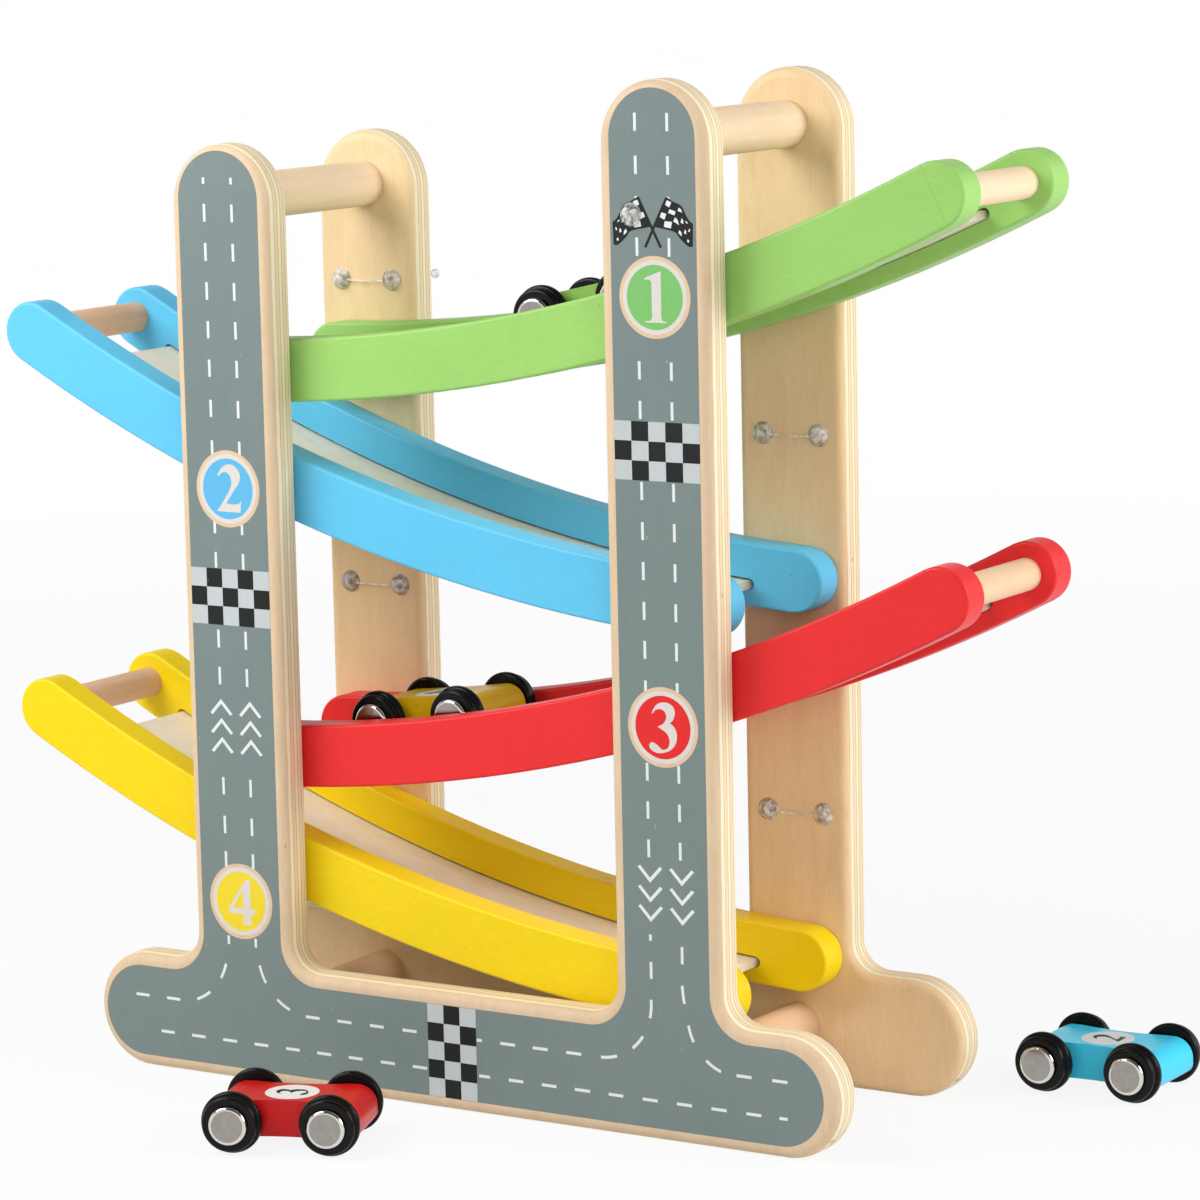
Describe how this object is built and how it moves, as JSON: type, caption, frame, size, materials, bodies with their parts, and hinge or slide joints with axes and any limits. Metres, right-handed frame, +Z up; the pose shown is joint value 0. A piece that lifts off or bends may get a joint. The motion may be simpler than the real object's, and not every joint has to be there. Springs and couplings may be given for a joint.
{
  "type": "click clack track toy",
  "caption": "Free-standing wooden racing toy: two plywood side panels carry curved ramps that alternate in slope, with small wheeled cars that roll down from ramp to ramp.",
  "frame": {"origin": "Middle of the front panel's underside, on the floor, midway between the two towers and in the middle of the panel's thickness.", "axes": "+X runs along the panels from the lower left tower to the taller right tower, +Y from the front panel to the rear panel, +Z up."},
  "size_m": [0.3254, 0.1926, 0.2831],
  "materials": {
    "birch_ply": "satin clear lacquer on birch plywood, printed on the front",
    "green_paint": "satin paint on plywood",
    "blue_paint": "satin paint on plywood",
    "red_paint": "satin paint on plywood",
    "yellow_paint": "satin paint on plywood",
    "track_wood": "sanded thin birch plywood",
    "dowel_wood": "sanded dowel",
    "clear_plastic": "clear moulded nylon",
    "green_car_paint": "satin paint on wood",
    "yellow_car_paint": "satin paint on wood",
    "red_car_paint": "satin paint on wood",
    "blue_car_paint": "satin paint on wood",
    "wheel_black": "smooth moulded plastic",
    "cap_chrome": "bright plated hub cap",
    "axle_steel": "drawn steel"
  },
  "bodies": {
    "stand": {"front_panel": "birch_ply", "rear_panel": "birch_ply", "top_dowel_left": "dowel_wood", "top_dowel_right": "dowel_wood", "base_dowel_left": "dowel_wood", "base_dowel_right": "dowel_wood", "green_front_rail": "green_paint", "green_rear_rail": "green_paint", "green_track": "track_wood", "green_stop_dowel": "dowel_wood", "blue_front_rail": "blue_paint", "blue_rear_rail": "blue_paint", "blue_track": "track_wood", "blue_stop_dowel": "dowel_wood", "red_front_rail": "red_paint", "red_rear_rail": "red_paint", "red_track": "track_wood", "red_stop_dowel": "dowel_wood", "yellow_front_rail": "yellow_paint", "yellow_rear_rail": "yellow_paint", "yellow_track": "track_wood", "yellow_stop_dowel": "dowel_wood", "front_ramp_pins": "dowel_wood", "rear_ramp_pins": "dowel_wood", "rear_ties": "clear_plastic", "front_tie_stud": "clear_plastic"},
    "green_car": {"green_car_body": "green_car_paint"},
    "green_car_front_wheelset": {"green_car_front_axle": "axle_steel", "green_car_front_wheels": "wheel_black", "green_car_front_caps": "cap_chrome"},
    "green_car_rear_wheelset": {"green_car_rear_axle": "axle_steel", "green_car_rear_wheels": "wheel_black", "green_car_rear_caps": "cap_chrome"},
    "yellow_car": {"yellow_car_body": "yellow_car_paint"},
    "yellow_car_front_wheelset": {"yellow_car_front_axle": "axle_steel", "yellow_car_front_wheels": "wheel_black", "yellow_car_front_caps": "cap_chrome"},
    "yellow_car_rear_wheelset": {"yellow_car_rear_axle": "axle_steel", "yellow_car_rear_wheels": "wheel_black", "yellow_car_rear_caps": "cap_chrome"},
    "red_car": {"red_car_body": "red_car_paint"},
    "red_car_front_wheelset": {"red_car_front_axle": "axle_steel", "red_car_front_wheels": "wheel_black", "red_car_front_caps": "cap_chrome"},
    "red_car_rear_wheelset": {"red_car_rear_axle": "axle_steel", "red_car_rear_wheels": "wheel_black", "red_car_rear_caps": "cap_chrome"},
    "blue_car": {"blue_car_body": "blue_car_paint"},
    "blue_car_front_wheelset": {"blue_car_front_axle": "axle_steel", "blue_car_front_wheels": "wheel_black", "blue_car_front_caps": "cap_chrome"},
    "blue_car_rear_wheelset": {"blue_car_rear_axle": "axle_steel", "blue_car_rear_wheels": "wheel_black", "blue_car_rear_caps": "cap_chrome"}
  },
  "joints": [
    {"name": "green_car_roll", "type": "hinge", "parent": "stand", "child": "green_car", "pos_m": [-0.08071, 0.03676, 0.7191], "axis": [0, 1, 0], "range_deg": [-10.48, 8.87]},
    {"name": "green_car_front_spin", "type": "hinge", "parent": "green_car", "child": "green_car_front_wheelset", "pos_m": [0.0164, 0.03676, 0.21751], "axis": [0, 1, 0], "continuous": true},
    {"name": "green_car_rear_spin", "type": "hinge", "parent": "green_car", "child": "green_car_rear_wheelset", "pos_m": [0.04277, 0.03676, 0.22334], "axis": [0, 1, 0], "continuous": true},
    {"name": "yellow_car_roll", "type": "hinge", "parent": "stand", "child": "yellow_car", "pos_m": [-0.09263, 0.03676, 0.60961], "axis": [0, 1, 0], "range_deg": [-17.12, 2.37]},
    {"name": "yellow_car_front_spin", "type": "hinge", "parent": "yellow_car", "child": "yellow_car_front_wheelset", "pos_m": [-0.0412, 0.03676, 0.10131], "axis": [0, 1, 0], "continuous": true},
    {"name": "yellow_car_rear_spin", "type": "hinge", "parent": "yellow_car", "child": "yellow_car_rear_wheelset", "pos_m": [-0.01442, 0.03676, 0.10473], "axis": [0, 1, 0], "continuous": true},
    {"name": "red_car_roll", "type": "slide", "parent": "stand", "child": "red_car", "axis": [0.9367, 0.3502, 0], "range_m": [-0.1, 0.04]},
    {"name": "red_car_front_spin", "type": "hinge", "parent": "red_car", "child": "red_car_front_wheelset", "pos_m": [-0.00805, -0.04647, 0.0084], "axis": [-0.3502, 0.9367, 0], "continuous": true},
    {"name": "red_car_rear_spin", "type": "hinge", "parent": "red_car", "child": "red_car_rear_wheelset", "pos_m": [-0.03334, -0.05593, 0.0084], "axis": [-0.3502, 0.9367, 0], "continuous": true},
    {"name": "blue_car_roll", "type": "slide", "parent": "stand", "child": "blue_car", "axis": [1, 0, 0], "range_m": [-0.1, 0.1]},
    {"name": "blue_car_front_spin", "type": "hinge", "parent": "blue_car", "child": "blue_car_front_wheelset", "pos_m": [0.1615, 0.1012, 0.0084], "axis": [0, 1, 0], "continuous": true},
    {"name": "blue_car_rear_spin", "type": "hinge", "parent": "blue_car", "child": "blue_car_rear_wheelset", "pos_m": [0.1345, 0.1012, 0.0084], "axis": [0, 1, 0], "continuous": true}
  ],
  "couplings": [
    {"joint": "green_car_front_spin", "follows": "green_car_roll", "ratio": -61.857},
    {"joint": "green_car_rear_spin", "follows": "green_car_roll", "ratio": -61.857},
    {"joint": "yellow_car_front_spin", "follows": "yellow_car_roll", "ratio": -61.857},
    {"joint": "yellow_car_rear_spin", "follows": "yellow_car_roll", "ratio": -61.857},
    {"joint": "red_car_front_spin", "follows": "red_car_roll", "rad_per_m": 119.05},
    {"joint": "red_car_rear_spin", "follows": "red_car_roll", "rad_per_m": 119.05},
    {"joint": "blue_car_front_spin", "follows": "blue_car_roll", "rad_per_m": 119.05},
    {"joint": "blue_car_rear_spin", "follows": "blue_car_roll", "rad_per_m": 119.05}
  ]
}
